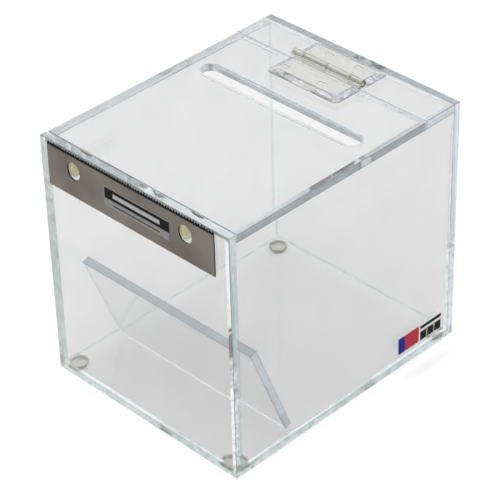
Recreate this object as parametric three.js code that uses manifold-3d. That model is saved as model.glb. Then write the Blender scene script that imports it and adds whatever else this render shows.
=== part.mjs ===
// A clear acrylic donation box: six glued sheets, a slotted lid on a moulded hinge, a sloping plate
// inside, a toothed steel blade on the front panel, two stickers and four bumper feet.
// Millimetres, +Z up, +Y towards the back. The origin is on the table, under the middle of the box.
import * as THREE from "three";
import { mergeVertices } from "three/addons/utils/BufferGeometryUtils.js";
import Module from "manifold-3d";

const wasm = await Module();
wasm.setup();

// ---- Driving dimensions ----

// The box, from outer face to outer face, without its feet.
const boxWidth = 165;
const boxDepth = 204;
const boxHeight = 181.3;
const sheet = 5.6; // acrylic sheet thickness
const glueLine = 0.1; // between two glued sheets
const restGap = 0.3; // under the loose lid and under the plate, whose edges only rest on a sheet

// The top: a fixed strip at the back and a hinged lid in front of it.
const stripDepth = 26.4;
const lidSeam = 1.6; // open joint between the lid and the strip
const lidFrontGap = 0.8; // open joint between the lid and the front panel
const lidShift = 0.8; // the lid sits this far to the right of the box
const slotLength = 137;
const slotWidth = 13.6;
const slotMiddleY = 126.2;

// The hinge: two bevelled leaves with four knuckles on one pin.
const hingeMiddleX = -2.4;
const leafWidth = 61.4;
const leafThickness = 2.4;
const leafLip = 0.5; // upright edge under the sloping rim
const leafBevel = 4.6; // width of the sloping rim on three sides
const leafCorner = 4; // radius of the two far corners
const lidLeafReach = 25.8; // from the pin to the leaf's far edge
const stripLeafReach = 23.4;
const barrelWidth = 60.4;
const barrelRadius = 3;
const barrelClearance = 0.6; // between a leaf's inner edge and the other leaf's knuckles
const pinRadius = 1.2;
const boreRadius = 1.3;
const pinInset = 0.6; // the pin ends this far inside the barrel's ends
const pinHeight = 3.4; // pin axis above the top face
const pinMiddleY = 174.2;
const endKnuckle = 10.1;
const knuckleGap = 0.4;
const webReach = 1.5; // how far a knuckle's web runs into its leaf
const webBottom = 0.4; // web above the leaf's underside
const webThickness = 1.9;
const leafPad = 0.1; // glue under each leaf

// The plate inside leans forwards from its lower edge.
const plateLength = 79.5;
const plateWidth = 146;
const plateTilt = THREE.MathUtils.degToRad(21.3);
const plateFootY = 49.8;

// The blade on the front panel.
const bladeWidth = 146;
const bladeMiddleX = -1.5;
const bladeBottom = 149.5;
const bladeHeight = 32.1; // to the tips of the teeth
const bladeThickness = 0.8;
const toothPitch = 2.32;
const toothDepth = 2.3;
const holeWidth = 11;
const holeHeight = 12.4;
const holeSpacing = 98;
const holeShift = -0.2; // the pair of holes is a little left of the blade's middle
const holeMiddleZ = 168.8;
const padRadius = 7;
const padThickness = 0.5;
const padRise = 2.5; // pad centre above the hole's centre
const padShift = -2.2; // and to its left

// Stickers.
const labelWidth = 57;
const labelHeight = 14.1;
const labelMiddleX = 5.1;
const labelMiddleZ = 164.4;
const stickerWidth = 44;
const stickerHeight = 14;
const stickerFrontY = 149;
const stickerBottom = 10.7;
const stickerThickness = 0.2;

// Bumper feet.
const footRadius = 6.35;
const footTipRadius = 5;
const footHeight = 4;

// The feet were stuck on by hand, so each has its own distances from the side and from the front or
// the back of the box to its centre.
const frontLeftFoot = { fromSide: 7.8, fromEnd: 13.1 };
const frontRightFoot = { fromSide: 12.6, fromEnd: 10.1 };
const backLeftFoot = { fromSide: 9.1, fromEnd: 9.8 };
const backRightFoot = { fromSide: 10, fromEnd: 10 };
const roundSteps = 32;

// ---- Materials ----

const acrylic = new THREE.MeshStandardMaterial({
  color: 0xdfe9ea, roughness: 0.04, metalness: 0, transparent: true, opacity: 0.25,
});
const hingePlastic = new THREE.MeshStandardMaterial({
  color: 0xdcdacb, roughness: 0.12, metalness: 0, transparent: true, opacity: 0.5,
});
const bumperPlastic = new THREE.MeshStandardMaterial({
  color: 0xc9c9b8, roughness: 0.25, metalness: 0, transparent: true, opacity: 0.6,
});
const steel = new THREE.MeshStandardMaterial({ color: 0x6e695f, roughness: 0.45, metalness: 0.9 });
const padFoam = new THREE.MeshStandardMaterial({ color: 0xa39f78, roughness: 0.6, metalness: 0 });
const labelFilm = new THREE.MeshStandardMaterial({ color: 0x1a1817, roughness: 0.35, metalness: 0 });
const stickerFilm = new THREE.MeshStandardMaterial({ color: 0xb8434c, roughness: 0.4, metalness: 0 });

// ---- Helpers ----

// A mesh for one named piece.
function piece(name, geometry, material) {
  const mesh = new THREE.Mesh(geometry, material);
  mesh.name = name;
  return mesh;
}

// A box given by its lowest and highest corner.
function block(low, high) {
  const size = high.map((value, axis) => value - low[axis]);
  const middle = high.map((value, axis) => (value + low[axis]) / 2);
  return new THREE.BoxGeometry(...size).translate(...middle);
}

// A cylinder lying along X, from one x to another.
function rod(radius, fromX, toX, y, z) {
  return new THREE.CylinderGeometry(radius, radius, toX - fromX, roundSteps)
    .rotateZ(Math.PI / 2)
    .translate((fromX + toX) / 2, y, z);
}

// A three.js geometry as a solid that can be joined and cut.
function solid(geometry) {
  const bare = geometry.clone();
  bare.deleteAttribute("normal");
  bare.deleteAttribute("uv");
  const merged = mergeVertices(bare, 1e-4);
  return new wasm.Manifold(
    new wasm.Mesh({
      numProp: 3,
      vertProperties: merged.attributes.position.array,
      triVerts: new Uint32Array(merged.index.array),
    }),
  );
}

// The joined or cut solid as a three.js geometry again.
function geometryOf(body) {
  const mesh = body.getMesh();
  const geometry = new THREE.BufferGeometry();
  geometry.setAttribute("position", new THREE.BufferAttribute(mesh.vertProperties, 3));
  geometry.setIndex(new THREE.BufferAttribute(mesh.triVerts, 1));
  const flat = geometry.toNonIndexed();
  flat.computeVertexNormals();
  return flat;
}

// A path with straight sides and half-round ends, lying along X or, when it is taller, along Y.
function roundEnded(path, width, height, x, y) {
  const radius = Math.min(width, height) / 2;
  const halfX = width / 2 - radius;
  const halfY = height / 2 - radius;
  const lying = width > height;
  const turn = lying ? -Math.PI / 2 : Math.PI;
  path.absarc(x + halfX, y - halfY, radius, turn, turn + Math.PI, false);
  path.absarc(x - halfX, y + halfY, radius, turn + Math.PI, turn + 2 * Math.PI, false);
  path.closePath();
  return path;
}

// ---- The box: glued sheets ----

const halfWidth = boxWidth / 2;
const wallTop = boxHeight - sheet - restGap;
const floorTop = sheet;
const backInner = boxDepth - sheet;

function bottomPanel() {
  return piece("bottom_panel", block([-halfWidth, 0, 0], [halfWidth, boxDepth, sheet]), acrylic);
}

function frontPanel() {
  const low = [-halfWidth, 0, floorTop + glueLine];
  return piece("front_panel", block(low, [halfWidth, sheet, boxHeight]), acrylic);
}

function backPanel() {
  const low = [-halfWidth, backInner, floorTop + glueLine];
  return piece("back_panel", block(low, [halfWidth, boxDepth, boxHeight]), acrylic);
}

// A side wall stands between the front and back panels, and carries the lid and the strip.
function sideWall(name, side) {
  const outer = side * halfWidth;
  const inner = side * (halfWidth - sheet);
  const low = [Math.min(outer, inner), sheet + glueLine, floorTop + glueLine];
  const high = [Math.max(outer, inner), backInner - glueLine, wallTop];
  return piece(name, block(low, high), acrylic);
}

const stripFront = backInner - stripDepth;

function rearTopStrip() {
  const low = [-halfWidth, stripFront, boxHeight - sheet];
  const high = [halfWidth, backInner - glueLine, boxHeight];
  return piece("rear_top_strip", block(low, high), acrylic);
}

// The lid lies on the side walls and has one long slot with round ends.
function lid() {
  const front = sheet + lidFrontGap;
  const back = stripFront - lidSeam;
  const left = lidShift - halfWidth;
  const right = lidShift + halfWidth;
  const outline = new THREE.Shape();
  outline.moveTo(left, front);
  outline.lineTo(right, front);
  outline.lineTo(right, back);
  outline.lineTo(left, back);
  outline.closePath();
  outline.holes.push(roundEnded(new THREE.Path(), slotLength, slotWidth, lidShift, slotMiddleY));
  const geometry = new THREE.ExtrudeGeometry(outline, {
    depth: sheet, bevelEnabled: false, curveSegments: roundSteps / 2,
  });
  return piece("lid", geometry.translate(0, 0, boxHeight - sheet), acrylic);
}

// The plate stands on its lower front edge and leans forwards.
function slopingPlate() {
  const plate = new THREE.BoxGeometry(plateWidth, sheet, plateLength);
  plate.translate(0, sheet / 2, plateLength / 2);
  const mesh = piece("sloping_plate", plate, acrylic);
  mesh.rotation.x = plateTilt;
  mesh.position.set(0, plateFootY, floorTop + restGap);
  return mesh;
}

// ---- The hinge ----

const barrelLeft = hingeMiddleX - barrelWidth / 2;
const barrelRight = hingeMiddleX + barrelWidth / 2;
const middleKnuckle = barrelWidth / 2 - endKnuckle;
const leafBase = boxHeight + leafPad;
const pinZ = boxHeight + pinHeight;
const leafStart = barrelRadius + barrelClearance;

// The x range of each knuckle, from left to right.
function knuckleRange(index) {
  const lengths = [endKnuckle, middleKnuckle, middleKnuckle, endKnuckle];
  const start = lengths.slice(0, index).reduce((sum, length) => sum + length, barrelLeft);
  return [start + knuckleGap / 2, start + lengths[index] - knuckleGap / 2];
}

// A slab from the origin to +Y with two rounded far corners. It is drawn in three levels: the
// underside, the top of the lip, and the top face, which is drawn in by the sloping rim.
function leafSlab(depth) {
  const half = leafWidth / 2;
  const straight = depth - leafCorner;
  const outline = new THREE.Shape();
  outline.moveTo(-half, 0);
  outline.lineTo(half, 0);
  outline.absarc(half - leafCorner, straight, leafCorner, 0, Math.PI / 2, false);
  outline.absarc(leafCorner - half, straight, leafCorner, Math.PI / 2, Math.PI, false);
  outline.closePath();
  const slab = new THREE.ExtrudeGeometry(outline, {
    depth: 2, steps: 2, bevelEnabled: false, curveSegments: 8,
  });
  const levels = [0, leafLip, leafThickness];
  const corners = slab.getAttribute("position");
  for (let index = 0; index < corners.count; index += 1) {
    const level = Math.round(corners.getZ(index));
    corners.setZ(index, levels[level]);
    if (level < 2) continue;
    corners.setX(index, corners.getX(index) * (1 - leafBevel / half));
    corners.setY(index, corners.getY(index) * (1 - leafBevel / depth));
  }
  return slab;
}

// A leaf with two knuckles standing on its inner edge.
// direction is -1 for the leaf on the lid and 1 for the leaf on the strip.
function hingeLeaf(name, direction, reach, knuckles) {
  const slab = leafSlab(reach - leafStart);
  slab.rotateZ(direction < 0 ? Math.PI : 0);
  slab.translate(hingeMiddleX, pinMiddleY + direction * leafStart, leafBase);
  let body = solid(slab);
  for (const index of knuckles) {
    const [fromX, toX] = knuckleRange(index);
    const webEnd = pinMiddleY + direction * (leafStart + webReach);
    const low = [fromX, Math.min(pinMiddleY, webEnd), leafBase + webBottom];
    const high = [toX, Math.max(pinMiddleY, webEnd), leafBase + webBottom + webThickness];
    body = body.add(solid(rod(barrelRadius, fromX, toX, pinMiddleY, pinZ)));
    body = body.add(solid(block(low, high)));
  }
  body = body.subtract(solid(rod(boreRadius, barrelLeft - 1, barrelRight + 1, pinMiddleY, pinZ)));
  return piece(name, geometryOf(body), hingePlastic);
}

function hingePin() {
  const shaft = rod(pinRadius, barrelLeft + pinInset, barrelRight - pinInset, pinMiddleY, pinZ);
  return piece("hinge_pin", shaft, hingePlastic);
}

// ---- The blade and its pads ----

const padFace = -glueLine;
const bladeBack = padFace - padThickness - glueLine;

// The outline runs along the bottom, then back along the teeth; two holes take the glue pads.
function blade() {
  const outline = new THREE.Shape();
  const left = -bladeWidth / 2;
  const teeth = Math.round(bladeWidth / toothPitch);
  const pitch = bladeWidth / teeth;
  const gullet = bladeHeight - toothDepth;
  outline.moveTo(left, 0);
  outline.lineTo(-left, 0);
  outline.lineTo(-left, gullet);
  for (let tooth = teeth - 1; tooth >= 0; tooth -= 1) {
    outline.lineTo(left + (tooth + 0.5) * pitch, bladeHeight);
    outline.lineTo(left + tooth * pitch, gullet);
  }
  outline.closePath();
  for (const side of [-1, 1]) {
    const x = holeShift + (side * holeSpacing) / 2;
    const y = holeMiddleZ - bladeBottom;
    outline.holes.push(roundEnded(new THREE.Path(), holeWidth, holeHeight, x, y));
  }
  const geometry = new THREE.ExtrudeGeometry(outline, {
    depth: bladeThickness, bevelEnabled: false, curveSegments: 12,
  });
  const mesh = piece("serrated_blade", geometry, steel);
  mesh.rotation.x = Math.PI / 2;
  mesh.position.set(bladeMiddleX, bladeBack, bladeBottom);
  return mesh;
}

function bladePad(name, side) {
  const pad = new THREE.CylinderGeometry(padRadius, padRadius, padThickness, roundSteps);
  const mesh = piece(name, pad, padFoam);
  const x = bladeMiddleX + holeShift + padShift + (side * holeSpacing) / 2;
  mesh.position.set(x, padFace - padThickness / 2, holeMiddleZ + padRise);
  return mesh;
}

// ---- Stickers ----

function bladeLabel() {
  const label = new THREE.BoxGeometry(labelWidth, stickerThickness, labelHeight);
  const mesh = piece("blade_label", label, labelFilm);
  const face = bladeBack - bladeThickness - glueLine;
  mesh.position.set(labelMiddleX, face - stickerThickness / 2, labelMiddleZ);
  return mesh;
}

function wallSticker() {
  const film = new THREE.BoxGeometry(stickerThickness, stickerWidth, stickerHeight);
  const mesh = piece("wall_sticker", film, stickerFilm);
  const x = halfWidth + glueLine + stickerThickness / 2;
  mesh.position.set(x, stickerFrontY + stickerWidth / 2, stickerBottom + stickerHeight / 2);
  return mesh;
}

// ---- Feet ----

// A bumper with a wide glued top, a rounded rim and a smaller flat tip.
function foot(name, sideX, atBack, place) {
  const profile = new THREE.Path();
  const rim = footRadius - footTipRadius;
  profile.moveTo(0, -footHeight);
  profile.lineTo(footTipRadius, -footHeight);
  profile.absarc(footTipRadius, rim - footHeight, rim, -Math.PI / 2, 0, false);
  profile.lineTo(footRadius, -glueLine);
  profile.lineTo(0, -glueLine);
  const points = profile.getPoints(6);
  const turned = new THREE.LatheGeometry(points, roundSteps).rotateX(Math.PI / 2);
  const mesh = piece(name, geometryOf(solid(turned)), bumperPlastic);
  mesh.position.x = sideX * (halfWidth - place.fromSide);
  mesh.position.y = atBack ? boxDepth - place.fromEnd : place.fromEnd;
  return mesh;
}

// ---- Assembly ----

const box = new THREE.Group();
box.add(bottomPanel(), frontPanel(), backPanel(), rearTopStrip(), lid(), slopingPlate());
box.add(sideWall("left_wall", -1), sideWall("right_wall", 1));
box.add(hingeLeaf("hinge_lid_leaf", -1, lidLeafReach, [1, 3]));
box.add(hingeLeaf("hinge_strip_leaf", 1, stripLeafReach, [0, 2]));
box.add(hingePin(), blade(), bladePad("blade_pad_left", -1), bladePad("blade_pad_right", 1));
box.add(bladeLabel(), wallSticker());
box.add(foot("foot_front_left", -1, false, frontLeftFoot));
box.add(foot("foot_front_right", 1, false, frontRightFoot));
box.add(foot("foot_back_left", -1, true, backLeftFoot));
box.add(foot("foot_back_right", 1, true, backRightFoot));

// The group's origin is the middle of everything seen from above, at the height of the feet.
const bladeFront = bladeBack - bladeThickness - glueLine - stickerThickness;
box.position.set(-lidShift / 2, -(boxDepth + bladeFront) / 2, footHeight);

const part = new THREE.Group();
part.add(box);

export default part;
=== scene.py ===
# %% [markdown]
# # A clear acrylic donation box
# The box is glued from clear acrylic sheets. Its lid has a slot for notes and coins and swings on a
# moulded plastic hinge, a plate slopes inside, and a toothed steel blade is stuck on the front.
# The sheets could be measured and typed in one by one, but then they could drift away from the CAD
# model, which also says how the lid moves. So this lesson loads that model first, builds each piece
# around it, and ends with the floor, the light and the camera.

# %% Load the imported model
import math

import bmesh
import bpy
from mathutils import Matrix, Vector


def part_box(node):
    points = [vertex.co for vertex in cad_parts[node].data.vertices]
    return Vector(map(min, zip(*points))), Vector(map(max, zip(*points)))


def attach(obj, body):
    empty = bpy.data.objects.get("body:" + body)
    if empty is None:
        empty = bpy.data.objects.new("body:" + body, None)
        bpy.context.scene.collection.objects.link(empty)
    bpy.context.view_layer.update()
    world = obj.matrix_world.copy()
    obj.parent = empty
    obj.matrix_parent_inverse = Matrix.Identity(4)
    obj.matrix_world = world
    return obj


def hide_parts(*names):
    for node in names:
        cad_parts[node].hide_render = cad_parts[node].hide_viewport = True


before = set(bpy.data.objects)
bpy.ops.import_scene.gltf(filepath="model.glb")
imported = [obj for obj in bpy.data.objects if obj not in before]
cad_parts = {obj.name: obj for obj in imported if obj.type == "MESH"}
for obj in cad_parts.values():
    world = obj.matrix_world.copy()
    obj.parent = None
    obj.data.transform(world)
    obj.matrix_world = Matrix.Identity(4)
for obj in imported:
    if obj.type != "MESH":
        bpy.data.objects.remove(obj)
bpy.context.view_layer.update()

# %% [markdown]
# ## Units and shared sizes
# The frame is in metres. A maker of such a box thinks in millimetres, so one small factor turns one
# into the other. The CAD model keeps thin gaps between sheets that are glued on the real box. In
# glass-like material an air gap shows as a mirror, so the sheets here run a hair into each other:
# light then passes the joint as it does through cured cement.

# %% Units and the glue overlap
MM = 0.001
glue_overlap = 0.02 * MM
wetted = 0.01 * MM  # how far a stuck-on piece reaches into the acrylic
polished_arris = 0.25 * MM  # the tiny flat along each edge of a sheet
same_point = 0.0001 * MM  # corners closer than this are merged
touching = 0.001 * MM  # places closer than this count as one place
print("glue overlap in mm:", glue_overlap / MM)


# %% [markdown]
# ## Node materials
# Every finish is a small node tree on one Principled shader. The nodes could be placed one by one for
# each finish, but helpers keep each recipe down to a few lines. Patterns read Object coordinates in
# metres, so they stay on a piece when the lid moves, and a scale of 1000 makes a pattern about a
# millimetre wide.

# %% A helper for materials
def new_finish(name, **settings):
    """A material with one Principled shader, its plain values set on the shader's own sockets."""
    finish = bpy.data.materials.new(name)
    finish.use_nodes = True
    shader = finish.node_tree.nodes["Principled BSDF"]
    for socket, value in settings.items():
        shader.inputs[socket.replace("_", " ")].default_value = value
    return finish, shader


def add_node(finish, kind, **settings):
    """A node of that kind, with properties and input values set by name."""
    node = finish.node_tree.nodes.new(kind)
    for key, value in settings.items():
        if key in node.inputs:
            node.inputs[key].default_value = value
        else:
            setattr(node, key, value)
    return node


def join(finish, source, target):
    finish.node_tree.links.new(source, target)


def object_points(finish, stretch=(1, 1, 1)):
    """Object coordinates, stretched along each axis."""
    places = add_node(finish, "ShaderNodeTexCoord")
    mapping = add_node(finish, "ShaderNodeMapping", Scale=stretch)
    join(finish, places.outputs["Object"], mapping.inputs["Vector"])
    return mapping.outputs["Vector"]


def noise_over(finish, points, scale, detail=2.0, roughness=0.5):
    noise = add_node(finish, "ShaderNodeTexNoise", Scale=scale, Detail=detail, Roughness=roughness)
    join(finish, points, noise.inputs["Vector"])
    return noise.outputs["Fac"]


def spread(finish, value, low, high):
    """A 0 to 1 pattern spread between two values."""
    ranged = add_node(finish, "ShaderNodeMapRange")
    ranged.inputs["To Min"].default_value = low
    ranged.inputs["To Max"].default_value = high
    join(finish, value, ranged.inputs["Value"])
    return ranged.outputs["Result"]


def bumped(finish, shader, height, strength, distance):
    bump = add_node(finish, "ShaderNodeBump", Strength=strength, Distance=distance)
    join(finish, height, bump.inputs["Height"])
    join(finish, bump.outputs["Normal"], shader.inputs["Normal"])


def blended_colour(finish, value, first, second, stops=(0.33, 0.67)):
    """A colour that runs from first to second between the stops, where noise has most values."""
    ramp = add_node(finish, "ShaderNodeValToRGB")
    for element, place, colour in zip(ramp.color_ramp.elements, stops, (first, second)):
        element.position = place
        element.color = (*colour, 1)
    join(finish, value, ramp.inputs["Fac"])
    return ramp.outputs["Color"]


print("helpers for finishes:", [helper.__name__ for helper in (new_finish, noise_over, blended_colour)])

# %% [markdown]
# ## Clear acrylic
# Cast acrylic is clear across its thickness and coloured at its cut edges, where light has run a long
# way inside the sheet. So one recipe makes several finishes: a face greyed a little as painted shade,
# which darkens what is seen through the box, polished edges whose blue-grey is the edge colour and
# whose depth is painted shade, lighter on edges that face up as painted light and darker on the lid
# and the back panel's top as painted shade, a sawn edge with a green mottle, the routed wall of the
# slot, a dark line along each arris as painted shade, and a joint that the cement has made almost
# invisible. One cloudy pattern drives the tint and the roughness of each. A tint on the surface was
# chosen over colour inside the sheet, because sheets that touch would add their colours up. Rays
# from lamps pass straight through.

# %% A recipe for clear plastic
acrylic_index = 1.49


def let_lamps_through(finish, shader, share):
    """Rays from lamps meet a Transparent shader, which passes that share of them at each surface."""
    clear = add_node(finish, "ShaderNodeBsdfTransparent")
    clear.inputs["Color"].default_value = (share, share, share, 1)
    path = add_node(finish, "ShaderNodeLightPath")
    mix = add_node(finish, "ShaderNodeMixShader")
    join(finish, path.outputs["Is Shadow Ray"], mix.inputs["Fac"])
    join(finish, shader.outputs["BSDF"], mix.inputs[1])
    join(finish, clear.outputs["BSDF"], mix.inputs[2])
    join(finish, mix.outputs["Shader"], finish.node_tree.nodes["Material Output"].inputs["Surface"])


def clear_plastic(
    name, index, darker, lighter, marks_per_metre, unevenness=0.0, roughest=0.0, passes=0.88
):
    """Clear plastic whose tint, roughness and relief in millimetres follow one cloudy pattern."""
    finish, shader = new_finish(name, IOR=index, Transmission_Weight=1)
    marks = noise_over(finish, object_points(finish), marks_per_metre, detail=3.0)
    join(finish, blended_colour(finish, marks, darker, lighter), shader.inputs["Base Color"])
    shader.inputs["Roughness"].default_value = 0.0
    if roughest:
        join(finish, spread(finish, marks, 0.0, roughest), shader.inputs["Roughness"])
    if unevenness:
        bumped(finish, shader, marks, 1.0, unevenness * MM)
    let_lamps_through(finish, shader, passes ** 0.5)  # a sheet has two surfaces
    return finish


def acrylic(name, darker, lighter, marks_per_metre, **relief):
    name = "clear_acrylic_" + name
    return clear_plastic(name, acrylic_index, darker, lighter, marks_per_metre, **relief)


print("acrylic has an index of", acrylic_index)

# %% Acrylic finishes
# The faces are greyed below clear as painted shade, darkening what is seen through the box; the plate's
# faces are greyed less.
acrylic_face_painted_shade = acrylic("face", (0.785, 0.785, 0.787), (0.810, 0.810, 0.811), 35)
plate_face_painted_shade = acrylic("plate_face_painted_shade", (0.870, 0.870, 0.872), (0.890, 0.890, 0.891), 35)
# The edges' blue-grey is the sheet's edge colour, and their depths are painted: lighter on upward edges
# as painted light, darker on the back panel's top and on the lid as painted shade.
polished_edge_painted_shade = acrylic("polished_edge_painted_shade", (0.42, 0.49, 0.53), (0.56, 0.63, 0.67), 110, roughest=0.08)
top_edge_painted_light = acrylic("top_edge_painted_light", (0.56, 0.62, 0.64), (0.72, 0.77, 0.79), 110, roughest=0.08)
back_edge_painted_shade = acrylic("back_edge_painted_shade", (0.18, 0.22, 0.24), (0.29, 0.33, 0.36), 120, roughest=0.10)
lid_edge_painted_shade = acrylic("lid_edge_painted_shade", (0.17, 0.20, 0.21), (0.31, 0.34, 0.35), 120, roughest=0.20)
sawn_edge = acrylic(
    "sawn_edge", (0.15, 0.23, 0.19), (0.56, 0.65, 0.63), 210, unevenness=0.004, roughest=0.25
)
routed_edge = acrylic("routed_edge", (0.70, 0.70, 0.69), (0.78, 0.78, 0.77), 60, roughest=0.3)
# A dark line painted along each arris, as painted shade.
arris = acrylic("arris", (0.04, 0.06, 0.08), (0.12, 0.16, 0.20), 200, roughest=0.1)
cured_joint = acrylic("cured_joint", (0.97, 0.98, 0.98), (1.0, 1.0, 1.0), 90, passes=1.0)

FACE, EDGE, JOINT, ARRIS, SAWN, TOP = range(6)  # the order of a sheet's finishes
sheet_finishes = (acrylic_face_painted_shade, polished_edge_painted_shade, cured_joint, arris, sawn_edge, top_edge_painted_light)
print("acrylic finishes:", [finish.name for finish in sheet_finishes])


# %% [markdown]
# ## From bmesh to piece
# A piece could be modelled with modifiers on an object, but a bmesh keeps its place in its mesh and
# leaves the object at the origin. Every piece is handed over in the same way: faces turned outwards,
# given its finishes and tied to the body it moves with, and the CAD node it stands for is hidden.

# %% Handing a piece over
def outwards(bm):
    bmesh.ops.remove_doubles(bm, verts=bm.verts, dist=same_point)
    bmesh.ops.recalc_face_normals(bm, faces=bm.faces)


def make_piece(bm, name, finishes, body, replaced):
    mesh = bpy.data.meshes.new(name)
    outwards(bm)
    bm.to_mesh(mesh)
    bm.free()
    piece = bpy.data.objects.new(name, mesh)
    bpy.context.scene.collection.objects.link(piece)
    for finish in finishes:
        mesh.materials.append(finish)
    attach(piece, body)
    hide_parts(*replaced)
    print(name, "faces:", len(mesh.polygons))
    return piece


def sharp_edges(bm, least_degrees=30):
    least = math.radians(least_degrees)
    return [edge for edge in bm.edges if len(edge.link_faces) == 2 and edge.calc_face_angle() > least]


def soften(bm, edges, width, segments=2):
    bmesh.ops.bevel(
        bm, geom=edges, offset=width, offset_type="OFFSET",
        affect="EDGES", segments=segments, profile=0.5, material=-1,
    )


def cut_across(bm, place, direction):
    """New edges where a plane crosses the faces."""
    everything = list(bm.verts) + list(bm.edges) + list(bm.faces)
    bmesh.ops.bisect_plane(bm, geom=everything, plane_co=place, plane_no=direction)


print("CAD nodes to stand in for:", len(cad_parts))

# %% [markdown]
# ## Flat sheets
# The six sheets of the case could be modelled one after another, but they differ only in size and in
# what they touch, so one function makes them all. A sheet is a cube stretched to the CAD node's box,
# with a polished arris along its free edges. Where it is glued to a neighbour it grows by the gap the
# CAD model left, and the glue overlap. Then its faces are told apart by the way they look: broad
# faces, cut edges, arrises and glued patches.

# %% Helpers for a flat sheet
X, Y, Z = range(3)


def slab(low, high):
    bm = bmesh.new()
    bmesh.ops.create_cube(bm, size=1)
    bmesh.ops.scale(bm, vec=high - low, verts=bm.verts)
    bmesh.ops.translate(bm, vec=(low + high) / 2, verts=bm.verts)
    return bm


def on_glued_end(edge, glued, low, high):
    """True for an edge on one of the glued ends, each given as (axis, 0 for low or 1 for high)."""
    corners = (low, high)
    return any(
        all(abs(vert.co[axis] - corners[end][axis]) < touching for vert in edge.verts)
        for axis, end in glued
    )


print("arris of a sheet in mm:", polished_arris / MM)

# %% Which faces of a sheet get which finish
square_on = 0.98  # a normal this close to an axis faces along it
well_inside = 1 * MM
joint_gap = 0.2 * MM  # the CAD model's gap between glued sheets is smaller than this


def mark_cut_edges(bm, thin_axis):
    """Faces along the thin direction are broad faces, slanting ones are arrises, the rest cut edges."""
    for face in bm.faces:
        face.normal_update()
        face.material_index = FACE if abs(face.normal[thin_axis]) > 0.99 else EDGE
        # Cut edges that face up get the lighter top finish, as painted light.
        if face.material_index == EDGE and face.normal.z > square_on:
            face.material_index = TOP
        # Arrises get the dark arris finish, a painted shade line.
        if max(abs(part) for part in face.normal) < square_on:
            face.material_index = ARRIS


def mark_joints(bm, low, high, neighbours):
    """Where a neighbour is cemented on, the face is cut out and gets the clear joint finish."""
    for near, far in neighbours:
        for axis in (X, Y, Z):
            across = Vector((0, 0, 0))
            across[axis] = 1
            for level in (near[axis], far[axis]):
                if low[axis] + well_inside < level < high[axis] - well_inside:
                    cut_across(bm, across * level, across)
    for face in bm.faces:
        middle = face.calc_center_median()
        for near, far in neighbours:
            if all(near[a] - joint_gap < middle[a] < far[a] + joint_gap for a in (X, Y, Z)):
                face.material_index = JOINT


def mark_exceptions(bm, node):
    """Ends that were left as sawn, and the strip's front, which shines against the lid."""
    for face in bm.faces:
        at_left_end = face.normal.x < -square_on and face.material_index == EDGE
        if node == "front_panel" and at_left_end:
            face.material_index = SAWN
        if node == "left_wall" and face.normal.y < -square_on:
            face.material_index = SAWN
        if node == "rear_top_strip" and face.normal.y < -0.5:
            face.material_index = EDGE


print("places in a sheet's list of finishes:", FACE, EDGE, JOINT, ARRIS, SAWN, TOP)

# %% One sheet, start to end
def sheet_piece(node, thin_axis, neighbours, low_shift=(0, 0, 0), high_shift=(0, 0, 0), glued=()):
    low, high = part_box(node)
    low += Vector(low_shift)
    high += Vector(high_shift)
    bm = slab(low, high)
    free = [edge for edge in sharp_edges(bm) if not on_glued_end(edge, glued, low, high)]
    soften(bm, free, polished_arris)
    mark_cut_edges(bm, thin_axis)
    mark_joints(bm, low, high, [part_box(neighbour) for neighbour in neighbours])
    mark_exceptions(bm, node)
    finishes = list(sheet_finishes)
    if node == "bottom_panel":
        finishes[EDGE] = sawn_edge
    # The back panel's top edge is painted darker, as painted shade.
    if node == "back_panel":
        finishes[TOP] = back_edge_painted_shade
    return make_piece(bm, node + "_clear", finishes, "case", (node,))


# %% Where the sheets meet
floor_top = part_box("bottom_panel")[1].z
front_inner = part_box("front_panel")[1].y
back_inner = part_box("back_panel")[0].y
to_floor = floor_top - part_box("front_panel")[0].z - glue_overlap
to_front = front_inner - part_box("left_wall")[0].y - glue_overlap
to_back = back_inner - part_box("left_wall")[1].y + glue_overlap
wall_to_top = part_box("lid")[0].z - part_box("left_wall")[1].z
lid_rest = 0.08 * MM  # the air film under the loose lid
wall_rise = wall_to_top - lid_rest
upright_sheets = ("front_panel", "back_panel", "left_wall", "right_wall")
side_walls = ("left_wall", "right_wall")
print("walls reach down and forwards, in mm:", round(-to_floor / MM, 3), round(-to_front / MM, 3))

# %% The sheets of the case
sheet_piece("bottom_panel", Z, upright_sheets)
sheet_piece(
    "front_panel", Y, ("bottom_panel", *side_walls), low_shift=(0, 0, to_floor), glued=((Z, 0),)
)
sheet_piece(
    "back_panel", Y, ("bottom_panel", "rear_top_strip", *side_walls),
    low_shift=(0, 0, to_floor), glued=((Z, 0),),
)
for wall in side_walls:
    sheet_piece(
        wall, X, ("bottom_panel", "front_panel", "back_panel", "rear_top_strip"),
        low_shift=(0, to_front, to_floor), high_shift=(0, to_back, wall_rise),
        glued=((Z, 0), (Y, 0), (Y, 1)),
    )
sheet_piece(
    "rear_top_strip", Z, ("back_panel", *side_walls),
    low_shift=(0, 0, -lid_rest - glue_overlap), high_shift=(0, to_back, 0), glued=((Y, 1), (Z, 0)),
)


# %% [markdown]
# ## The lid
# The lid is a loose sheet with one long slot with round ends, cut with a router. The slot could be a
# Boolean, but a drawn outline leaves cleaner faces around it: a circle is drawn, its two halves are
# pulled apart, and the face between this loop and the sheet's outline is filled and thickened.

# %% Helpers for an outline with a slot
slot_length = 137 * MM
slot_width = 13.6 * MM
slot_segments = 64
slot_to_back = 44.2 * MM  # from the middle of the slot to the lid's back end


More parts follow.
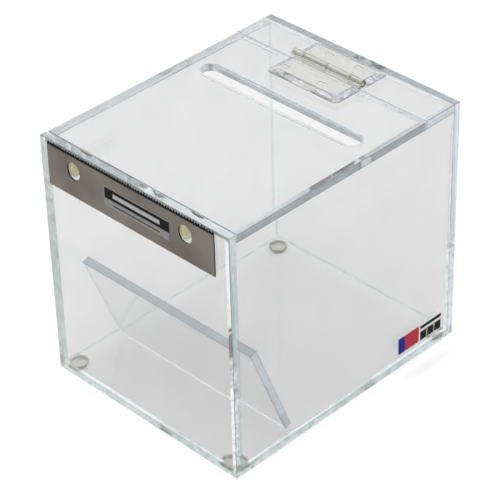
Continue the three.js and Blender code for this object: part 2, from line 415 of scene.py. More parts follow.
def round_ended_loop(bm, length, width, middle, segments):
    """A closed loop with half-round ends, long in X."""
    made = bmesh.ops.create_circle(bm, segments=segments, radius=width / 2)
    for vert in made["verts"]:
        side = 0 if abs(vert.co.x) < same_point else math.copysign(1, vert.co.x)
        vert.co.x += side * (length - width) / 2
    bmesh.ops.translate(bm, vec=middle, verts=made["verts"])
    return made["verts"]


def thicken(bm, faces, move):
    """Faces extruded along move into a closed body."""
    made = bmesh.ops.extrude_face_region(bm, geom=faces, use_keep_orig=True)
    moved = [item for item in made["geom"] if isinstance(item, bmesh.types.BMVert)]
    bmesh.ops.translate(bm, vec=move, verts=moved)


print("slot in mm:", slot_length / MM, "by", slot_width / MM)

# %% The slotted lid
ROUTED, PAINTED_LIGHT_END = 2, 4  # places in the lid's list of finishes
# The lid's edges are painted darker as painted shade, and its back end lighter as painted light.
lid_finishes = (acrylic_face_painted_shade, lid_edge_painted_shade, routed_edge, arris, polished_edge_painted_shade)


def mark_lid_edges(bm, slot_middle, back_end):
    """The slot's wall is routed; the lid's other edges are painted darker as painted shade and its back
    end lighter as painted light.
    """
    mark_cut_edges(bm, Z)
    for face in bm.faces:
        middle = face.calc_center_median()
        if middle.y > back_end - 2 * polished_arris and face.normal.y > 0.5:
            face.material_index = PAINTED_LIGHT_END
        beside_slot = abs(middle.y - slot_middle.y) < slot_width
        along_slot = abs(middle.x - slot_middle.x) < slot_length / 2 + polished_arris
        if beside_slot and along_slot and abs(face.normal.z) < square_on:
            face.material_index = ROUTED


def slotted_lid():
    low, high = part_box("lid")
    bm = bmesh.new()
    outline = bmesh.ops.create_grid(bm, x_segments=1, y_segments=1, size=0.5)["verts"]
    bmesh.ops.scale(bm, vec=(high.x - low.x, high.y - low.y, 1), verts=outline)
    bmesh.ops.translate(bm, vec=((low.x + high.x) / 2, (low.y + high.y) / 2, low.z), verts=outline)
    bmesh.ops.delete(bm, geom=list(bm.faces), context="FACES_ONLY")
    slot_middle = Vector(((low.x + high.x) / 2, high.y - slot_to_back, low.z))
    round_ended_loop(bm, slot_length, slot_width, slot_middle, slot_segments)
    bmesh.ops.triangle_fill(bm, edges=bm.edges, use_beauty=True)
    thicken(bm, list(bm.faces), Vector((0, 0, high.z - low.z)))
    outwards(bm)
    soften(bm, sharp_edges(bm), polished_arris)
    mark_lid_edges(bm, slot_middle, high.y)
    return bm


make_piece(slotted_lid(), "lid_clear", lid_finishes, "lid_assembly", ("lid",))

# %% [markdown]
# ## The sloping plate
# The plate is a sheet that leans forwards inside the box. Its four slanting corners could be worked
# out, but it is easier to make it upright at the origin, where its length is plain, and then to turn
# it about X and set it on the floor of the box.

# %% The sloping plate
plate_tilt = math.radians(21.3)


def leaning_plate():
    low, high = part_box("sloping_plate")
    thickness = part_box("bottom_panel")[1].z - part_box("bottom_panel")[0].z
    rise = high.z - low.z
    length = (rise - thickness * math.sin(plate_tilt)) / math.cos(plate_tilt)
    foot_y = low.y + length * math.sin(plate_tilt)
    drop = (low.z - floor_top + glue_overlap) / math.cos(plate_tilt)
    bm = slab(Vector((low.x, 0, -drop)), Vector((high.x, thickness, length)))
    soften(bm, sharp_edges(bm), polished_arris)
    mark_cut_edges(bm, Y)
    bmesh.ops.rotate(bm, cent=(0, 0, 0), matrix=Matrix.Rotation(plate_tilt, 3, "X"), verts=bm.verts)
    bmesh.ops.translate(bm, vec=(0, foot_y, low.z), verts=bm.verts)
    return bm


make_piece(
    leaning_plate(), "sloping_plate_clear", (plate_face_painted_shade, *sheet_finishes[1:]),
    "case", ("sloping_plate",),
)

# %% [markdown]
# ## The moulded hinge
# Two clear leaves turn on one pin. Each leaf is a slab with rounded far corners, a small upright lip
# and a broad sloping rim, and carries two knuckles. The slab is drawn flat and raised by extruding
# and scaling its top, the knuckles are cylinders, and a Boolean joins them into one clear body,
# because two clear bodies inside each other would show their hidden walls. Moulded plastic has a
# yellow cast where it is thick, so the barrel and its outer ends have finishes of their own. The
# sloping rims are painted a darker blue-grey as painted shade, and a near-black finish paints shade
# along the leaf's edges, in the moulding marks and on the ends where two knuckles face each other.

# %% Hinge plastic
hinge_index = 1.58


def moulded(name, darker, lighter, marks_per_metre, **relief):
    return clear_plastic(name, hinge_index, darker, lighter, marks_per_metre, **relief)


gentle = {"unevenness": 0.002, "roughest": 0.04}
leaf_plastic = moulded("clear_hinge_plastic", (0.80, 0.80, 0.77), (0.89, 0.89, 0.86), 260, **gentle)
barrel_plastic = moulded("clear_hinge_barrel", (0.66, 0.66, 0.60), (0.80, 0.80, 0.74), 260, **gentle)
olive_ends = moulded(
    "olive_barrel_ends", (0.34, 0.34, 0.24), (0.52, 0.52, 0.42), 400, unevenness=0.01, roughest=0.15
)
# A near-black finish paints shade along the leaf's edges, in the moulding marks and on knuckle ends that
# face each other.
painted_shade_lines = moulded("shaded_knuckle_ends", (0.03, 0.03, 0.03), (0.12, 0.12, 0.11), 700, roughest=0.10)
# The rims' darker blue-grey mottle is painted shade; the bumps are the rims' unevenness.
rims_painted_shade = moulded(
    "uneven_hinge_rims_painted_shade", (0.46, 0.46, 0.51), (0.84, 0.84, 0.89), 420, unevenness=0.02, roughest=0.06
)
LEAF, RIM, PAINTED_SHADE, BARREL, OUTER_END = range(5)  # the order of a hinge leaf's finishes
leaf_finishes = (leaf_plastic, rims_painted_shade, painted_shade_lines, barrel_plastic, olive_ends)
print("hinge finishes:", [finish.name for finish in leaf_finishes])

# %% Hinge sizes
pin_low, pin_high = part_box("hinge_pin")
pin_middle = (pin_low + pin_high) / 2
pin_radius = (pin_high.z - pin_low.z) / 2
pin_clearance = 0.1 * MM
bore_radius = pin_radius + pin_clearance
barrel_radius = 3 * MM
barrel_half = 30.2 * MM
end_knuckle = 10.1 * MM
knuckle_gap = 0.4 * MM
leaf_start = 3.6 * MM
leaf_lip = 0.5 * MM
leaf_rim = 4.6 * MM
leaf_corner = 4 * MM
leaf_thickness = 2.4 * MM
leaf_arris = 0.2 * MM
knuckle_rounding = 0.35 * MM
pin_rounding = 0.4 * MM
web_reach = 1.5 * MM
web_bottom = 0.4 * MM
web_thickness = 1.9 * MM
mark_length = 6.6 * MM
mark_width = 3.2 * MM
mark_depth = 0.25 * MM
print("barrel in mm:", 2 * barrel_half / MM, "long and", 2 * barrel_radius / MM, "across")


# %% Knuckles and webs
def cylinder_along_x(bm, radius, from_x, to_x, y, z, segments=64):
    turn = Matrix.Translation(((from_x + to_x) / 2, y, z)) @ Matrix.Rotation(math.pi / 2, 4, "Y")
    bmesh.ops.create_cone(
        bm, cap_ends=True, segments=segments, radius1=radius, radius2=radius,
        depth=to_x - from_x, matrix=turn,
    )


def knuckle_range(index):
    """The x range of a knuckle, from left to right."""
    middle = barrel_half - end_knuckle
    starts = (-barrel_half, -middle, 0, middle)
    ends = (-middle, 0, middle, barrel_half)
    return (
        pin_middle.x + starts[index] + knuckle_gap / 2,
        pin_middle.x + ends[index] - knuckle_gap / 2,
    )


def knuckle(index):
    from_x, to_x = knuckle_range(index)
    bm = bmesh.new()
    cylinder_along_x(bm, barrel_radius, from_x, to_x, pin_middle.y, pin_middle.z)
    soften(bm, sharp_edges(bm), knuckle_rounding, segments=3)
    return bm


def web(index, direction, leaf_base):
    """The bridge between a knuckle and its leaf."""
    from_x, to_x = knuckle_range(index)
    end_y = pin_middle.y + direction * (leaf_start + web_reach)
    low = Vector((from_x, min(pin_middle.y, end_y), leaf_base + web_bottom))
    high = Vector((to_x, max(pin_middle.y, end_y), leaf_base + web_bottom + web_thickness))
    return slab(low, high)


outermost_knuckle = [round((end - pin_middle.x) / MM, 2) for end in knuckle_range(0)]
print("outermost knuckle, in mm from the middle:", outermost_knuckle)

# %% The slab of a leaf
def leaf_slab(low, high, direction):
    """The leaf from its inner edge to its far edge, with the rim drawn in at the top."""
    bm = bmesh.new()
    inner_y = pin_middle.y + direction * leaf_start
    far_y = low.y if direction < 0 else high.y
    reach = abs(far_y - inner_y)
    bmesh.ops.create_grid(bm, x_segments=1, y_segments=1, size=0.5)
    bmesh.ops.scale(bm, vec=(high.x - low.x, reach, 1), verts=bm.verts)
    bmesh.ops.translate(bm, vec=((low.x + high.x) / 2, (inner_y + far_y) / 2, low.z), verts=bm.verts)
    bmesh.ops.bevel(
        bm, geom=[vert for vert in bm.verts if abs(vert.co.y - far_y) < touching],
        offset=leaf_corner, offset_type="OFFSET",
        affect="VERTICES", segments=12, profile=0.5, material=-1,
    )
    thicken(bm, list(bm.faces), Vector((0, 0, leaf_lip)))
    lip_z = low.z + leaf_lip
    lip_top = [face for face in bm.faces if all(abs(v.co.z - lip_z) < same_point for v in face.verts)]
    made = bmesh.ops.extrude_face_region(bm, geom=lip_top)
    bmesh.ops.delete(bm, geom=lip_top, context="FACES")
    top = [item for item in made["geom"] if isinstance(item, bmesh.types.BMVert)]
    bmesh.ops.translate(bm, vec=(0, 0, leaf_thickness - leaf_lip), verts=top)
    half = (high.x - low.x) / 2
    shrink = Matrix.Diagonal((1 - leaf_rim / half, 1 - leaf_rim / reach, 1, 1))
    middle = Matrix.Translation(((low.x + high.x) / 2, inner_y, 0))
    bmesh.ops.transform(bm, matrix=middle @ shrink @ middle.inverted(), verts=top)
    outwards(bm)
    made = bmesh.ops.bevel(
        bm, geom=sharp_edges(bm, 20), offset=leaf_arris, offset_type="OFFSET",
        affect="EDGES", segments=1, profile=0.5, material=-1,
    )
    # The small bevel along the leaf's edges gets the near-black painted shade.
    for face in made["faces"]:
        face.material_index = PAINTED_SHADE
    return bm


def moulding_marks(places, leaf_top):
    """Shallow rectangles left by the mould, placed in millimetres from the pin's middle."""
    marks = []
    for along, across in places:
        middle = pin_middle + Vector((along, across, 0)) * MM
        middle.z = leaf_top
        half = Vector((mark_length / 2, mark_width / 2, mark_depth))
        marks.append(slab(middle - half, middle + half))
    return marks


print("leaf in mm:", leaf_thickness / MM, "thick with a rim of", leaf_rim / MM)

# %% Joining and cutting bodies
def loose_object(bm, name):
    """A helper object for a Boolean, which is removed afterwards."""
    mesh = bpy.data.meshes.new(name)
    outwards(bm)
    bm.to_mesh(mesh)
    bm.free()
    helper = bpy.data.objects.new(name, mesh)
    bpy.context.scene.collection.objects.link(helper)
    return helper


def combined(bm, others, operation):
    """The bmesh joined with, or cut by, each of the others, as a new bmesh."""
    base = loose_object(bm, "base")
    helpers = [loose_object(other, "helper") for other in others]
    for helper in helpers:
        modifier = base.modifiers.new("step", "BOOLEAN")
        modifier.operation = operation
        modifier.solver = "EXACT"
        modifier.object = helper
    shown = base.evaluated_get(bpy.context.evaluated_depsgraph_get())
    result = bmesh.new()
    result.from_mesh(shown.to_mesh())
    for helper in (base, *helpers):
        bpy.data.meshes.remove(helper.data)
    return result


small_face = 40 * MM * MM


def smooth_where_round(bm, least_degrees=25):
    """Round stretches shade smooth, and flat faces stay flat."""
    for face in bm.faces:
        face.smooth = face.calc_area() < small_face
    for edge in sharp_edges(bm, least_degrees):
        edge.smooth = False


print("faces shade smooth below, in square mm:", small_face / MM / MM)

# %% The two leaves
barrel_skin = 0.05 * MM  # faces this close to the barrel's radius belong to it
end_depth = 1 * MM


def mark_leaf_faces(bm, leaf_top):
    """Rims get painted shade, moulding marks and knuckle ends that face each other get near-black
    painted shade, and the barrel and its outer ends get their own finishes.
    """
    for face in bm.faces:
        if face.material_index == PAINTED_SHADE:
            continue
        face.normal_update()
        middle = face.calc_center_median()
        upwards = face.normal.z
        in_mark = leaf_top - mark_depth < middle.z < leaf_top and abs(upwards) < 0.1
        # Sloping rim faces get the rim finish, which is painted shade.
        on_rim = middle.z < leaf_top and 0.2 < upwards < 0.95
        face.material_index = PAINTED_SHADE if in_mark else RIM if on_rim else LEAF
        if middle.z > leaf_top and abs(face.normal.x) > 0.9:
            outermost = abs(middle.x - pin_middle.x) > barrel_half - end_depth
            face.material_index = OUTER_END if outermost else PAINTED_SHADE
        from_axis = middle - pin_middle
        from_axis.x = 0
        if from_axis.length < barrel_radius + barrel_skin and abs(face.normal.x) < 0.3:
            face.material_index = BARREL


def hinge_leaf(node, direction, knuckles, body, marks):
    low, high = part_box(node)
    leaf_top = low.z + leaf_thickness
    bodies = [knuckle(index) for index in knuckles]
    bodies += [web(index, direction, low.z) for index in knuckles]
    joined = combined(leaf_slab(low, high, direction), bodies, "UNION")
    bore = bmesh.new()
    reach = 2 * barrel_half
    cylinder_along_x(
        bore, bore_radius, pin_middle.x - reach, pin_middle.x + reach, pin_middle.y, pin_middle.z, 32
    )
    drilled = combined(joined, [bore, *moulding_marks(marks, leaf_top)], "DIFFERENCE")
    smooth_where_round(drilled)
    mark_leaf_faces(drilled, leaf_top)
    make_piece(drilled, node + "_clear", leaf_finishes, body, (node,))


hinge_leaf("hinge_lid_leaf", -1, (1, 3), "lid_assembly", ((-22.0, -16.2), (9.9, -15.7)))
hinge_leaf("hinge_strip_leaf", 1, (0, 2), "case", ((-11.3, 13.6), (13.8, 14.4)))


# %% [markdown]
# ## The hinge pin
# The pin is a plain rod of the same plastic, seen through the knuckles as a slightly olive core. A
# bought hinge hides how its pin is held, so it is a cylinder with rounded ends, and it stays with
# the case while the lid's knuckles turn around it.

# %% The pin
def hinge_pin():
    bm = bmesh.new()
    cylinder_along_x(
        bm, pin_radius, pin_low.x, pin_high.x, pin_middle.y, pin_middle.z, segments=32
    )
    soften(bm, sharp_edges(bm), pin_rounding, segments=3)
    smooth_where_round(bm)
    return bm


pin_plastic = moulded(
    "olive_pin_plastic", (0.72, 0.71, 0.64), (0.84, 0.83, 0.76), 260, unevenness=0.004, roughest=0.10
)
make_piece(hinge_pin(), "hinge_pin_clear", (pin_plastic,), "case", ("hinge_pin",))

# %% [markdown]
# ## The toothed blade
# The blade is a strip of spring steel, brushed lengthways, with ground teeth along its top and two
# oval holes. Its outline could be typed point by point, but a loop is shorter and keeps the teeth
# even: one tooth and the strip below it are drawn, repeated along the blade and merged. Then the
# outline is thickened and the holes are cut. The steel is a stretched noise over a cloudy tone. The
# teeth, a thin band below them and every edge of the strip get a near-black steel as painted shade.

# %% Blade steel
brushed_steel, steel_shader = new_finish(
    "brushed_spring_steel", Metallic=1.0, Specular_IOR_Level=0.5
)
steel_points = object_points(brushed_steel, stretch=(1, 1, 30))
brush_lines = noise_over(brushed_steel, steel_points, 180, detail=4.0, roughness=0.6)
steel_clouds = noise_over(brushed_steel, object_points(brushed_steel), 28, detail=2.0)
steel_tone = add_node(brushed_steel, "ShaderNodeMixRGB", blend_type="MULTIPLY", Fac=1.0)
join(
    brushed_steel,
    blended_colour(brushed_steel, steel_clouds, (0.135, 0.122, 0.102), (0.215, 0.190, 0.165)),
    steel_tone.inputs["Color1"],
)
join(
    brushed_steel,
    blended_colour(brushed_steel, brush_lines, (0.82, 0.82, 0.82), (1.0, 1.0, 1.0)),
    steel_tone.inputs["Color2"],
)
join(brushed_steel, steel_tone.outputs["Color"], steel_shader.inputs["Base Color"])
join(brushed_steel, spread(brushed_steel, brush_lines, 0.34, 0.55), steel_shader.inputs["Roughness"])
bumped(brushed_steel, steel_shader, brush_lines, 0.25, 0.05 * MM)
print("made", brushed_steel.name)

# %% Ground steel
# Near-black steel for the ground teeth and the blade's edges, as painted shade; the fine lines are the
# grinding.
teeth_painted_shade_steel, ground_shader = new_finish("ground_teeth_painted_shade", Metallic=1.0)
grind_points = object_points(teeth_painted_shade_steel, stretch=(6, 1, 1))
grind_lines = noise_over(teeth_painted_shade_steel, grind_points, 900, detail=2.0)
join(
    teeth_painted_shade_steel,
    blended_colour(teeth_painted_shade_steel, grind_lines, (0.003, 0.003, 0.003), (0.012, 0.011, 0.010)),
    ground_shader.inputs["Base Color"],
)
join(teeth_painted_shade_steel, spread(teeth_painted_shade_steel, grind_lines, 0.35, 0.6), ground_shader.inputs["Roughness"])
print("made", teeth_painted_shade_steel.name)

# %% Blade sizes
tooth_count = 63
tooth_depth = 2.3 * MM
hole_width = 11 * MM
hole_height = 12.4 * MM
hole_spacing = 98 * MM
hole_shift = -0.2 * MM
hole_above_bottom = 19.3 * MM
hole_slug = 4 * MM  # the length of the slug that cuts a hole
# The band below the teeth also gets the near-black painted shade.
ground_band = 0.2 * MM  # the ground bevel reaches this far below the teeth
blade_arris = 0.07 * MM
blade_low, blade_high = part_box("serrated_blade")
blade_middle_x = (blade_low.x + blade_high.x) / 2
tooth_pitch = (blade_high.x - blade_low.x) / tooth_count
BRUSHED, GROUND_PAINTED_SHADE = range(2)
print(tooth_count, "teeth, one every", round(tooth_pitch / MM, 3), "mm")

# %% The blade
def toothed_outline():
    """A flat strip in X and Z, facing the front, with a row of teeth along its top."""
    bm = bmesh.new()
    gullet = blade_high.z - tooth_depth
    bmesh.ops.create_grid(bm, x_segments=1, y_segments=1, size=0.5)
    stand = Matrix.Rotation(math.pi / 2, 4, "X")
    size = Matrix.Diagonal((tooth_pitch, gullet - blade_low.z, 1, 1))
    tooth_x = blade_low.x + tooth_pitch / 2
    place = Matrix.Translation((tooth_x, blade_low.y, (gullet + blade_low.z) / 2))
    bmesh.ops.transform(bm, matrix=place @ stand @ size, verts=bm.verts)
    shoulders = [vert for vert in bm.verts if vert.co.z > gullet - touching]
    tip = bmesh.ops.create_vert(bm, co=(tooth_x, blade_low.y, blade_high.z))["vert"]
    bmesh.ops.contextual_create(bm, geom=[*shoulders, *tip])
    tooth = list(bm.verts) + list(bm.edges) + list(bm.faces)
    for index in range(1, tooth_count):
        made = bmesh.ops.duplicate(bm, geom=tooth)
        moved = [item for item in made["geom"] if isinstance(item, bmesh.types.BMVert)]
        bmesh.ops.translate(bm, vec=(index * tooth_pitch, 0, 0), verts=moved)
    bmesh.ops.remove_doubles(bm, verts=bm.verts, dist=touching)
    return bm


def blade_hole(side):
    """A slug with the hole's oval outline, standing through the blade."""
    bm = bmesh.new()
    round_ended_loop(bm, hole_height, hole_width, Vector((0, 0, 0)), 48)
    bmesh.ops.contextual_create(bm, geom=list(bm.edges))
    thicken(bm, list(bm.faces), Vector((0, 0, hole_slug)))
    bmesh.ops.translate(bm, vec=(0, 0, -hole_slug / 2), verts=bm.verts)
    upright = Matrix.Rotation(math.pi / 2, 4, "X") @ Matrix.Rotation(math.pi / 2, 4, "Z")
    middle = Vector((
        blade_middle_x + hole_shift + side * hole_spacing / 2,
        blade_low.y,
        blade_low.z + hole_above_bottom,
    ))
    bmesh.ops.transform(bm, matrix=Matrix.Translation(middle) @ upright, verts=bm.verts)
    return bm


def blade():
    bm = toothed_outline()
    thicken(bm, list(bm.faces), Vector((0, blade_high.y - blade_low.y, 0)))
    bm = combined(bm, [blade_hole(-1), blade_hole(1)], "DIFFERENCE")
    soften(bm, sharp_edges(bm, 50), blade_arris, segments=1)
    band_bottom = blade_high.z - tooth_depth - ground_band
    cut_across(bm, Vector((0, 0, band_bottom)), Vector((0, 0, 1)))
    # Faces other than the brushed front and back below the band get the near-black painted shade.
    for face in bm.faces:
        face.normal_update()
        brushed = abs(face.normal.y) > 0.95 and face.calc_center_median().z < band_bottom
        face.material_index = BRUSHED if brushed else GROUND_PAINTED_SHADE
    return bm


make_piece(
    blade(), "serrated_blade_steel", (brushed_steel, teeth_painted_shade_steel),
    "case", ("serrated_blade",),
)

# %% [markdown]
# ## Adhesive pads
# Two foam discs hold the blade. Each could be a plain disc that just touches the panel, but foam that
# sticks to acrylic wets it, so it reaches a hair into the panel and shows its cream colour through
# the panel's top edge. Light goes some way into foam, so the finish has subsurface scattering.

# %% Pad foam
pad_foam, pad_shader = new_finish("cream_adhesive_foam", Roughness=0.62, Subsurface_Weight=0.6)
pad_shader.inputs["Subsurface Radius"].default_value = (1.2 * MM, 1.1 * MM, 0.7 * MM)
pad_shader.inputs["Subsurface Scale"].default_value = 1.0
pad_cells = noise_over(pad_foam, object_points(pad_foam), 700, detail=3.0)
pad_clouds = noise_over(pad_foam, object_points(pad_foam), 160, detail=1.0)
join(
    pad_foam,
    blended_colour(pad_foam, pad_clouds, (0.50, 0.49, 0.30), (0.64, 0.61, 0.42)),
    pad_shader.inputs["Base Color"],
)
bumped(pad_foam, pad_shader, pad_cells, 0.4, 0.2 * MM)
print("made", pad_foam.name)

# %% The pads
panel_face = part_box("front_panel")[0].y
pad_rounding = 0.12 * MM


def adhesive_pad(node):
    low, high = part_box(node)
    bm = bmesh.new()
    thickness = panel_face + wetted - blade_high.y
    middle = Vector(((low.x + high.x) / 2, blade_high.y + thickness / 2, (low.z + high.z) / 2))
    stand = Matrix.Translation(middle) @ Matrix.Rotation(math.pi / 2, 4, "X")
    radius = (high.x - low.x) / 2
    bmesh.ops.create_cone(
        bm, cap_ends=True, segments=64, radius1=radius, radius2=radius, depth=thickness, matrix=stand
    )
    soften(bm, sharp_edges(bm), pad_rounding, segments=3)
    smooth_where_round(bm)
    make_piece(bm, node + "_foam", (pad_foam,), "case", (node,))


for pad_node in ("blade_pad_left", "blade_pad_right"):
    adhesive_pad(pad_node)

# %% [markdown]
# ## The label on the blade
# A printed film with no lettering: a black bar with a plain pale bar in it, over a silver band. The
# print could be a procedural pattern, but the film is cut into strips where its colour changes, so
# every border stays crisp and follows the label if its size changes.

# %% Printed films
def film_finish(name, first, second, roughness):
    """A printed colour with the faint mottle of ink on film."""
    finish, shader = new_finish(name, Roughness=roughness, Specular_IOR_Level=0.03)
    mottle = noise_over(finish, object_points(finish), 900, detail=3.0)
    join(finish, blended_colour(finish, mottle, first, second), shader.inputs["Base Color"])
    bumped(finish, shader, mottle, 0.08, 0.05 * MM)
    return finish


black_print = film_finish("black_print", (0.006, 0.005, 0.005), (0.014, 0.012, 0.011), 0.35)
silver_print = film_finish("silver_print", (0.26, 0.26, 0.26), (0.34, 0.34, 0.34), 0.38)
pale_print = film_finish("pale_print", (0.46, 0.46, 0.46), (0.56, 0.56, 0.56), 0.4)
film_thickness = 0.12 * MM


def film_patch(low, high, thin_axis, corner_radius):
    """A thin rectangle of film between two corners, with its four corners rounded."""
    bm = slab(low, high)
    through = []
    for edge in bm.edges:
        along = (edge.verts[0].co - edge.verts[1].co).normalized()
        if abs(along[thin_axis]) > square_on:
            through.append(edge)
    soften(bm, through, corner_radius, segments=6)
    return bm


print("film in mm:", film_thickness / MM)

# %% The blade label
label_radius = 0.8 * MM
label_border = 0.6 * MM  # the silver strip left of the black bar
black_bar = (0.40, 0.95)  # bars, as shares of the label's height
pale_bar = (0.56, 0.78)
thin_line = (0.15, 0.21)
between_ends = (0.14, 0.86)  # where the pale bar and the thin line run, as shares of its length
SILVER, BLACK, PALE = range(3)


def blade_label():
    low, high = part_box("blade_label")
    length = high.x - low.x
    height = high.z - low.z
    front = Vector((low.x, blade_low.y - film_thickness, low.z))
    bm = film_patch(front, Vector((high.x, blade_low.y + wetted, high.z)), Y, label_radius)
    for share in (*black_bar, *pale_bar, *thin_line):
        cut_across(bm, Vector((0, 0, low.z + share * height)), Vector((0, 0, 1)))
    for along in (between_ends[0] * length, between_ends[1] * length, label_border):
        cut_across(bm, Vector((low.x + along, 0, 0)), Vector((1, 0, 0)))
    for face in bm.faces:
        middle = face.calc_center_median()
        up = (middle.z - low.z) / height
        along = (middle.x - low.x) / length
        inside = between_ends[0] < along < between_ends[1]
        pale = inside and pale_bar[0] < up < pale_bar[1]
        lined = inside and thin_line[0] < up < thin_line[1]
        black = black_bar[0] < up < black_bar[1] and middle.x > low.x + label_border
        face.material_index = PALE if pale else BLACK if black or lined else SILVER
    return bm


make_piece(
    blade_label(), "blade_label_film", (silver_print, black_print, pale_print),
    "case", ("blade_label",),
)

# %% [markdown]
# ## The sticker on the right wall
# A clear film with printed blocks: a two-tone colour block, three dark squares and a thin bar above
# them. It is made generic, with blocks of colour only. Each block is its own patch, a little prouder
# than the clear film, because two films in one plane would flicker. All of them wet the wall.

# %% Sticker colours and sizes
clear_film = clear_plastic(
    "clear_film", acrylic_index, (0.93, 0.93, 0.92), (0.97, 0.97, 0.97), 300,
    unevenness=0.01, roughest=0.12,
)
red_print = film_finish("red_print", (0.50, 0.030, 0.045), (0.62, 0.06, 0.08), 0.4)
blue_print = film_finish("blue_print", (0.012, 0.016, 0.26), (0.022, 0.026, 0.34), 0.4)
dark_print = film_finish("dark_print", (0.010, 0.012, 0.010), (0.022, 0.024, 0.020), 0.4)
wall_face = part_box("right_wall")[1].x
sticker_low, sticker_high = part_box("wall_sticker")
sticker_radius = 1.2 * MM
sticker_margin = 0.7 * MM
block_length = 20 * MM
band_length = 6.4 * MM  # the first part of the block, in its own colour
print_seam = 0.15 * MM
print_radius = 0.15 * MM
squares = 3
squares_start = 1.6 * MM  # from the block to the first square
squares_end = 0.6 * MM  # from the last square to the end of the printed area
bar_end = 0.4 * MM
square_gap = 1.0 * MM
square_height = 0.55  # shares of the printed height
bar_heights = (0.72, 0.92)
RED, BLUE, DARK, CLEAR = range(4)
print("sticker in mm:", [round(side / MM, 1) for side in sticker_high - sticker_low])


# %% The wall sticker
def add_patch(bm, low, high, index, corner_radius):
    """One closed piece of film, added to the sticker's bmesh by way of a mesh."""
    part = film_patch(low, high, X, corner_radius)
    for face in part.faces:
        face.material_index = index
    mesh = bpy.data.meshes.new("patch")
    part.to_mesh(mesh)
    part.free()
    bm.from_mesh(mesh)
    bpy.data.meshes.remove(mesh)


def print_block(bm, from_y, to_y, from_z, to_z, index):
    """A printed block, placed by distances from the low corner of the printed area."""
    corner = sticker_low + Vector((0, sticker_margin, sticker_margin))
    low = Vector((wall_face - wetted, corner.y + from_y, corner.z + from_z))
    high = Vector((wall_face + film_thickness, corner.y + to_y, corner.z + to_z))
    add_patch(bm, low, high, index, print_radius)


def wall_sticker():
    bm = bmesh.new()
    low = Vector((wall_face - wetted, sticker_low.y, sticker_low.z))
    high = Vector((wall_face + film_thickness / 2, sticker_high.y, sticker_high.z))
    add_patch(bm, low, high, CLEAR, sticker_radius)
    length = sticker_high.y - sticker_low.y - 2 * sticker_margin
    height = sticker_high.z - sticker_low.z - 2 * sticker_margin
    print_block(bm, 0, band_length - print_seam, 0, height, BLUE)
    print_block(bm, band_length, block_length, 0, height, RED)
    first = block_length + squares_start
    pitch = (length + square_gap - squares_end - first) / squares
    for index in range(squares):
        start = first + index * pitch
        print_block(bm, start, start + pitch - square_gap, 0, square_height * height, DARK)
    bar_low, bar_high = bar_heights
    print_block(bm, first, length - bar_end, bar_low * height, bar_high * height, DARK)
    return bm


make_piece(
    wall_sticker(), "wall_sticker_film", (red_print, blue_print, dark_print, clear_film),
    "case", ("wall_sticker",),
)

# %% [markdown]
# ## Bumper feet
# Each foot is a clear, slightly yellow polyurethane bumper, stuck on by its wide end. A cone would do
# from far away, but a spun profile also gives the rounded shoulder and the shallow dish in the tip.
# The side turns light away, so it has a darker finish and shows as the dark rim.

# %% Bumper plastic
bumper_index = 1.5
bumper = clear_plastic(
    "clear_bumper", bumper_index, (0.80, 0.80, 0.68), (0.92, 0.92, 0.82), 400,
    unevenness=0.01, roughest=0.06, passes=0.8,
)
bumper_side = clear_plastic(
    "shaded_bumper_side", bumper_index, (0.02, 0.025, 0.015), (0.09, 0.10, 0.06), 400,
    unevenness=0.01, roughest=0.06, passes=0.5,
)
print("bumper finishes:", bumper.name, bumper_side.name)

# %% The feet
foot_tip_radius = 5 * MM
foot_tip_land = 0.8 * MM  # the flat ring that stands on the table
foot_dish_slope = 1 * MM
foot_dish = 0.35 * MM
foot_shoulder = 2.2 * MM  # the height of the shoulder above the table
foot_draft = 0.3 * MM  # how much narrower the shoulder is than the glued end
foot_rounding = 0.5 * MM
FLAT, SIDE = range(2)


def bumper_foot(node):
    low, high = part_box(node)
    radius = (high.x - low.x) / 2
    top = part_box("bottom_panel")[0].z + wetted
    ring = foot_tip_radius - foot_tip_land
    bm = bmesh.new()
    corners = [(0, low.z + foot_dish), (ring - foot_dish_slope, low.z + foot_dish), (ring, low.z)]
    corners += [(foot_tip_radius, low.z), (radius - foot_draft, low.z + foot_shoulder)]
    corners += [(radius, top), (0, top)]
    profile = [bm.verts.new((x, 0, z)) for x, z in corners]
    for first, second in zip(profile, profile[1:]):
        bm.edges.new((first, second))
    bmesh.ops.bevel(
        bm, geom=profile[3:5], offset=foot_rounding, offset_type="OFFSET",
        affect="VERTICES", segments=4, profile=0.5, material=-1,
    )
    bmesh.ops.spin(
        bm, geom=list(bm.verts) + list(bm.edges), cent=(0, 0, 0), axis=(0, 0, 1),
        angle=2 * math.pi, steps=64, use_merge=True,
    )
    bmesh.ops.remove_doubles(bm, verts=bm.verts, dist=touching)
    bmesh.ops.translate(bm, vec=((low.x + high.x) / 2, (low.y + high.y) / 2, 0), verts=bm.verts)
    bmesh.ops.recalc_face_normals(bm, faces=bm.faces)
    for face in bm.faces:
        face.normal_update()
        face.smooth = abs(face.normal.z) < 0.99
        face.material_index = SIDE if abs(face.normal.z) < 0.8 else FLAT
    make_piece(bm, node + "_clear", (bumper, bumper_side), "case", (node,))


for foot_node in ("foot_front_left", "foot_front_right", "foot_back_left", "foot_back_right"):
    bumper_foot(foot_node)

# %% [markdown]
# ## The floor, the light and the camera
# The box stands on a plain pale floor under one broad soft light, as in a product studio. Clear
# plastic is hard to light: lamps alone give black reflections, so the surroundings shine in it as a
# dim room with a bright ceiling. Those surroundings don't light the floor, which the lamp does.

# %% Floor
floor_half = 2.5
floor_finish = new_finish("pale_floor", Base_Color=(0.9, 0.9, 0.9, 1), Roughness=0.9)[0]


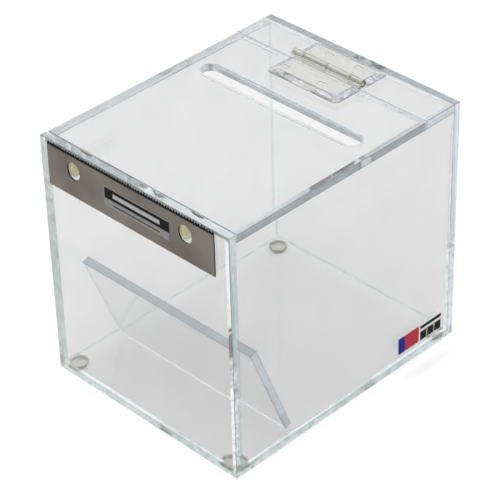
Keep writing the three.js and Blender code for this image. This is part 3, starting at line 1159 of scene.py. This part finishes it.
def studio_floor():
    bm = bmesh.new()
    bmesh.ops.create_grid(bm, x_segments=1, y_segments=1, size=floor_half)
    mesh = bpy.data.meshes.new("studio_floor")
    bm.to_mesh(mesh)
    bm.free()
    floor = bpy.data.objects.new("studio_floor", mesh)
    bpy.context.scene.collection.objects.link(floor)
    mesh.materials.append(floor_finish)
    print("floor in m:", 2 * floor_half)


studio_floor()


# %% Light
softbox_place = Vector((0.0, -0.2, 2.2))
softbox_aim = Vector((0, 0, 0.1))
softbox_side = 2.6
softbox_power = 92


def overhead_softbox():
    lamp = bpy.data.lights.new("overhead_softbox", "AREA")
    lamp.size = softbox_side
    lamp.energy = softbox_power
    lamp.cycles.use_multiple_importance_sampling = False
    holder = bpy.data.objects.new("overhead_softbox", lamp)
    bpy.context.scene.collection.objects.link(holder)
    holder.location = softbox_place
    holder.rotation_mode = "QUATERNION"
    holder.rotation_quaternion = (softbox_aim - softbox_place).to_track_quat("-Z", "Y")
    print("softbox in m:", softbox_side, "and in watts:", softbox_power)


overhead_softbox()


# %% Surroundings
def studio_surroundings(low_colour, high_colour):
    """What shines in the acrylic: a dim room near the horizon and a bright ceiling overhead."""
    sky = bpy.data.worlds.new("studio")
    bpy.context.scene.world = sky
    sky.use_nodes = True
    direction = add_node(sky, "ShaderNodeTexCoord")
    parts = add_node(sky, "ShaderNodeSeparateXYZ")
    join(sky, direction.outputs["Generated"], parts.inputs["Vector"])
    colour = blended_colour(sky, parts.outputs["Z"], low_colour, high_colour, stops=(0.05, 0.60))
    join(sky, colour, sky.node_tree.nodes["Background"].inputs["Color"])
    sky.cycles.sampling_method = "NONE"
    sky.cycles_visibility.diffuse = False
    print("made the world", sky.name)


studio_surroundings((0.52, 0.54, 0.58), (1.38, 1.39, 1.42))
bpy.context.scene.view_settings.view_transform = "Standard"

# %% Light paths
most_bounces = 64  # light that travels along inside a sheet turns back from its faces many times
light_paths = bpy.context.scene.cycles
for limit in ("max_bounces", "transmission_bounces", "transparent_max_bounces", "glossy_bounces"):
    setattr(light_paths, limit, most_bounces)
light_paths.caustics_refractive = False  # lamps already reach the floor through the clear sheets
light_paths.caustics_reflective = False
print("bounces:", most_bounces)

# %% Camera
camera_turn = math.radians(45.62)
camera_climb = math.radians(35.32)
camera_roll = math.radians(-1.605)
camera_place = Vector((0.8383, -0.8243, 0.9186))
film_width = 36
focal_length = 160.84
camera = bpy.data.objects.new("camera", bpy.data.cameras.new("camera"))
bpy.context.scene.collection.objects.link(camera)
camera.data.sensor_width = film_width
camera.data.lens = focal_length
back = Vector((
    math.sin(camera_turn) * math.cos(camera_climb),
    -math.cos(camera_turn) * math.cos(camera_climb),
    math.sin(camera_climb),
))
level_right = (-back).cross(Vector((0, 0, 1))).normalized()
level_up = level_right.cross(-back)
right = math.cos(camera_roll) * level_right + math.sin(camera_roll) * level_up
up = math.cos(camera_roll) * level_up - math.sin(camera_roll) * level_right
camera.matrix_world = Matrix((
    (right.x, up.x, back.x, camera_place.x),
    (right.y, up.y, back.y, camera_place.y),
    (right.z, up.z, back.z, camera_place.z),
    (0, 0, 0, 1),
))
bpy.context.scene.camera = camera
print("camera in m from the box:", round(camera_place.length, 3))
